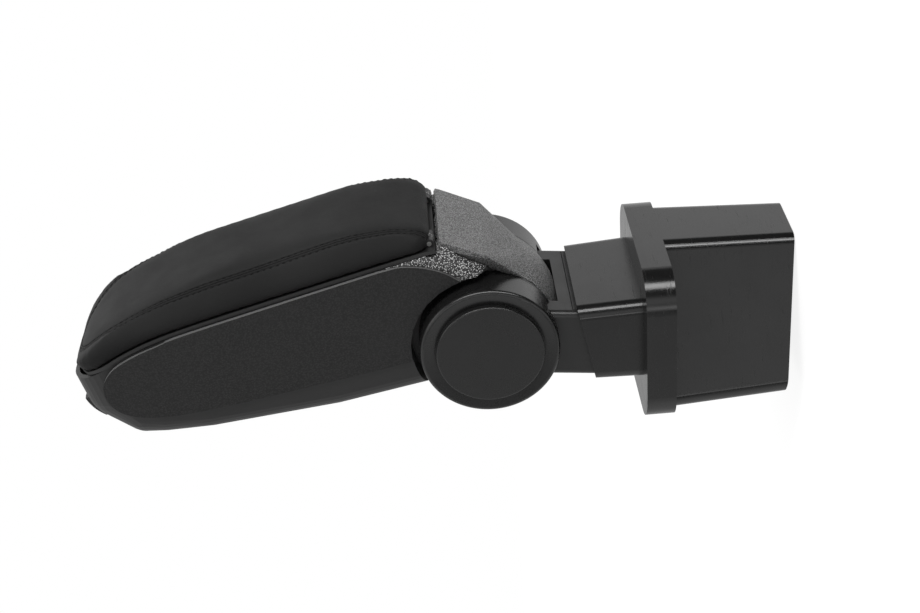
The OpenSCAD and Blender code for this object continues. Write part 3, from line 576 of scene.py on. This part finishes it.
def seam_line(me):
    """Draws the cover in along its seam, stores the distance to it for the finish, and lays the stitches."""
    p = to_mm(read(me, "co"))
    n = read(me, "normal") @ TO_LEVEL.T
    surface = surface_of(me)
    found = [surface.find_nearest(q) for q in smooth_line(SEAM, 0.5)]
    on = settled(np.array([f[0] for f in found]))
    out = settled(np.array([f[1] for f in found]))
    out /= np.linalg.norm(out, axis=1)[:, None]
    ahead = np.gradient(on, axis=0)
    ahead /= np.linalg.norm(ahead, axis=1)[:, None]
    side = np.cross(ahead, out)
    along = lengths(on)
    near = tree_of(on)
    dist = np.full(len(p), FAR)
    run = np.zeros(len(p))
    for i, q in enumerate(p):
        co, j, d = near.find(q)
        if d < SEAM_REACH:
            v = q - on[j]
            step = np.dot(v, ahead[j])
            dist[i] = math.copysign(math.sqrt(max(0, d * d - step ** 2)), np.dot(v, side[j]))
            run[i] = along[j] + step
    away = np.abs(dist)
    row = hump(away - ROW_OFF, ROW_W)
    dent = SLIT * hump(away, SLIT_W) + ROW * row + DIP * hump(away, DIP_W) - SWELL
    dent += PUCKER * row * np.cos(2 * np.pi * run / PITCH)
    dent = np.where(away < SEAM_REACH, dent, -SWELL)
    put(me, to_row(p - n * dent[:, None]))
    me.attributes.new("seam_d", "FLOAT", "POINT").data.foreach_set("value", dist.astype(np.float32))
    stitches(surface_of(me), on, ahead, side, along)


def stitches(surface, on, ahead, side, along):
    """Two rows of separate stitches, each a short arc of thread that dips into the cover at its ends."""
    bm = bmesh.new()
    rng = np.random.default_rng(7)
    for sgn in (-1, 1):
        for s in np.arange(ROW_ENDS, along[-1] - ROW_ENDS, PITCH):
            j = int(np.searchsorted(along, s))
            loc, out = surface.find_nearest(on[j] + side[j] * sgn * ROW_OFF)[:2]
            t = Vector(ahead[j] + rng.normal(0, STITCH_TURN, 3))
            t = (t - out * t.dot(out)).normalized()
            turn = Matrix((t, out.cross(t), out)).transposed().to_4x4()
            place = Matrix.Translation(loc + out * STITCH_LIFT) @ turn
            r = bmesh.ops.create_uvsphere(bm, u_segments=8, v_segments=6, radius=1.0)
            for v in r["verts"]:
                q = Vector((v.co.z * STITCH[0], v.co.x * STITCH[1], v.co.y * STITCH[2]))
                q.z -= STITCH_DIP * (q.x / STITCH[0]) ** 2
                v.co = place @ q
    me = bpy.data.meshes.new("pad_stitching")
    bm.to_mesh(me)
    bm.free()
    put(me, to_row(read(me, "co")))
    smooth_faces(me)
    s = link(bpy.data.objects.new("pad_stitching", me))
    me.materials.append(FINISH["thread"])
    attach(s, "lid")


pad()


# Moulded edges: each piece's corners are rounded by this much. The box and neck keep their own normals.

EDGES = {"insert_box": 0.0007, "adapter_neck": 0.0007, "stem": 0.0004, "stem_cover": 0.0003,
         "side_panel_left": 0.0014, "side_panel_right": 0.0014, "tub": 0.0005, "rear_cowl": 0.0005,
         "lid_plate": 0.0004, "latch_button": 0.0005}
for name, width in EDGES.items():
    m = nodes[name].modifiers.new("edge", "BEVEL")
    m.width, m.segments = width, 2
    m.limit_method = "ANGLE"
    m.angle_limit = math.radians(32)
    m.use_clamp_overlap = True
    m.harden_normals = name not in ("insert_box", "adapter_neck")


# Floor and light. The camera sees a world of 1, which is white, and all rays but it and the glossy ones see OTHER_RAYS.

FLOOR_GAP = 0.0005
FLOOR_GLOW = 0.86
OTHER_RAYS = 0.7


def floor():
    """A floor that glows white for the camera but for the part's shadow, and that is clear to glossy rays."""
    me = bpy.data.meshes.new("floor")
    bm = bmesh.new()
    bmesh.ops.create_grid(bm, x_segments=2, y_segments=2, size=4.0)
    bm.to_mesh(me)
    bm.free()
    o = link(bpy.data.objects.new("floor", me))
    o.location = (0, 0, box_cad[0][2] - FLOOR_GAP)
    m, nt, b = material("mat_floor")
    b.inputs["Base Color"].default_value = grey(0.22)
    b.inputs["Roughness"].default_value = 0.9
    b.inputs["Specular IOR Level"].default_value = 0.0
    surface = b.outputs[0].links[0].to_socket
    rays = nt.nodes.new("ShaderNodeLightPath").outputs
    glow = nt.nodes.new("ShaderNodeEmission")
    glow.inputs[0].default_value = grey(1)
    nt.links.new(maths(nt, "MULTIPLY", rays["Is Camera Ray"], FLOOR_GLOW), glow.inputs[1])
    lit = nt.nodes.new("ShaderNodeAddShader")
    nt.links.new(b.outputs[0], lit.inputs[0])
    nt.links.new(glow.outputs[0], lit.inputs[1])
    through = nt.nodes.new("ShaderNodeMixShader")
    nt.links.new(rays["Is Glossy Ray"], through.inputs[0])
    nt.links.new(lit.outputs[0], through.inputs[1])
    nt.links.new(nt.nodes.new("ShaderNodeBsdfTransparent").outputs[0], through.inputs[2])
    nt.links.new(through.outputs[0], surface)
    me.materials.append(m)


# How bright glossy pieces see the studio round the part as it lies, by degrees from straight up, positive on the
# camera's side: a white table below, a backdrop behind, a dim room above, and two bright strips in front.
STUDIO = [(-180, 0.70), (-126, 0.55), (-108, 0.80), (-68.4, 1.15), (-55.8, 1.0), (-45, 0.05), (0, 0.04), (36, 0.04),
          (52.2, 0.10), (63, 0.95), (75.6, 0.95), (84.6, 0.30), (90, 2.2), (95.4, 2.2), (100.8, 0.15), (108, 0.25),
          (126, 0.70), (144, 0.95), (180, 0.70)]


def world():
    w = bpy.data.worlds.new("world")
    bpy.context.scene.world = w
    w.use_nodes = True
    nt = w.node_tree
    nt.nodes.clear()
    out = nt.nodes.new("ShaderNodeOutputWorld")
    bg = nt.nodes.new("ShaderNodeBackground")
    bg.inputs[0].default_value = grey(1)
    rays = nt.nodes.new("ShaderNodeLightPath").outputs
    way = split(nt, nt.nodes.new("ShaderNodeTexCoord").outputs["Generated"])
    turn = maths(nt, "ARCTAN2", way["Y"], maths(nt, "MULTIPLY", way["X"], -1))
    stops = [(0.5 + angle / 360, strength) for angle, strength in STUDIO]
    studio = ramp(nt, maths(nt, "MULTIPLY_ADD", turn, 0.5 / math.pi, 0.5), stops)
    glossy = maths(nt, "MULTIPLY", rays["Is Glossy Ray"], studio)
    seen = maths(nt, "MAXIMUM", rays["Is Camera Ray"], rays["Is Glossy Ray"])
    rest = maths(nt, "MULTIPLY", maths(nt, "SUBTRACT", 1.0, seen), OTHER_RAYS)
    nt.links.new(maths(nt, "ADD", maths(nt, "ADD", rays["Is Camera Ray"], glossy), rest), bg.inputs[1])
    nt.links.new(bg.outputs[0], out.inputs[0])


def lamp(name, direction, distance, power, across, along):
    """A soft rectangular lamp that looks at the middle of the part."""
    d = bpy.data.lights.new(name, "AREA")
    d.shape = "RECTANGLE"
    d.size, d.size_y = across, along
    d.energy = power
    o = link(bpy.data.objects.new(name, d))
    o.location = MID + direction.normalized() * distance
    o.rotation_euler = (MID - o.location).to_track_quat("-Z", "Y").to_euler()


floor()
world()
lamp("key", UP * 0.93 + NEAR * 0.37, 1.0, 13, 0.3, 1.5)
lamp("fill", UP * 0.35 + NEAR * 0.15 + LEFT, 1.4, 3.5, 0.8, 0.8)
bpy.context.scene.view_settings.view_transform = "Standard"
